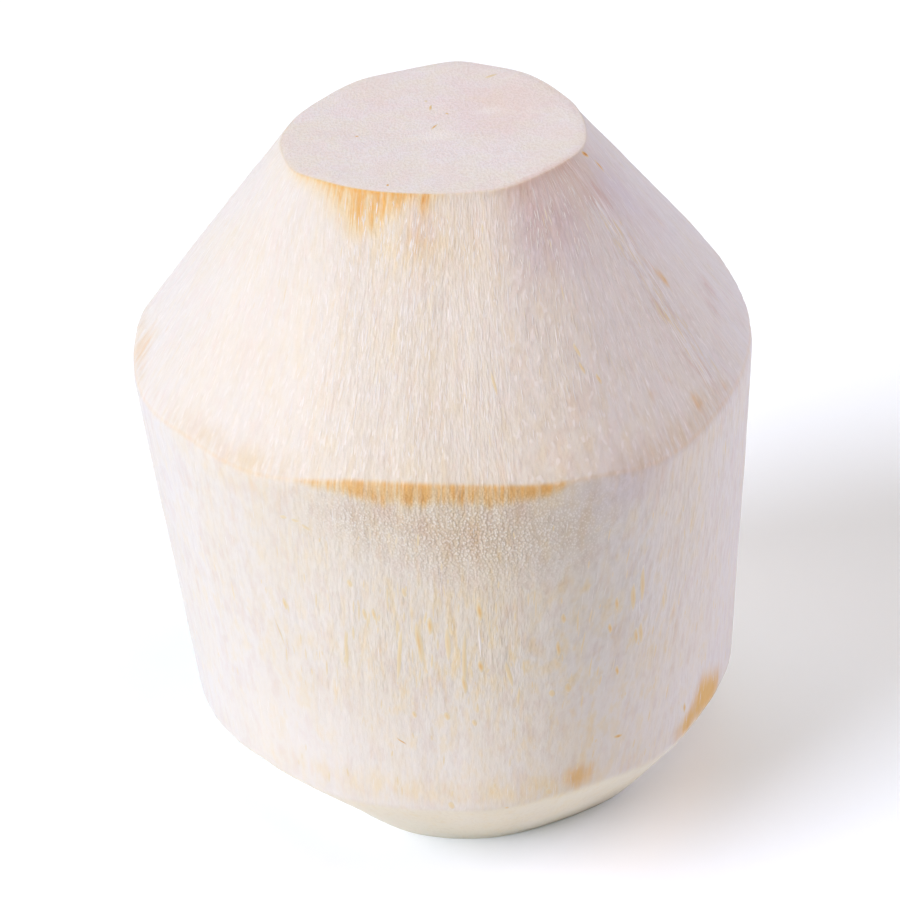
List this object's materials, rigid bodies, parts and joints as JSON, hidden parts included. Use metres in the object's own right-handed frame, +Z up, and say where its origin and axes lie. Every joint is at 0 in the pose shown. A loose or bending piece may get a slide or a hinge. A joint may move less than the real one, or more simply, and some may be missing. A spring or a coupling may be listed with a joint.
{
  "type": "trimmed young green coconut",
  "caption": "Young green coconut pared down to its pale husk: a faceted cone over a shaved round wall, with flat top and base cuts, ready to open.",
  "frame": {"origin": "middle of the width and depth, on the flat base cut", "axes": "+Z up from the base cut to the top cut, -Y out of the front"},
  "size_m": [0.1108, 0.1164, 0.1251],
  "materials": {
    "husk": "damp matt, pale cream fibrous husk"
  },
  "bodies": {
    "root": {"husk": "husk"}
  },
  "joints": []
}
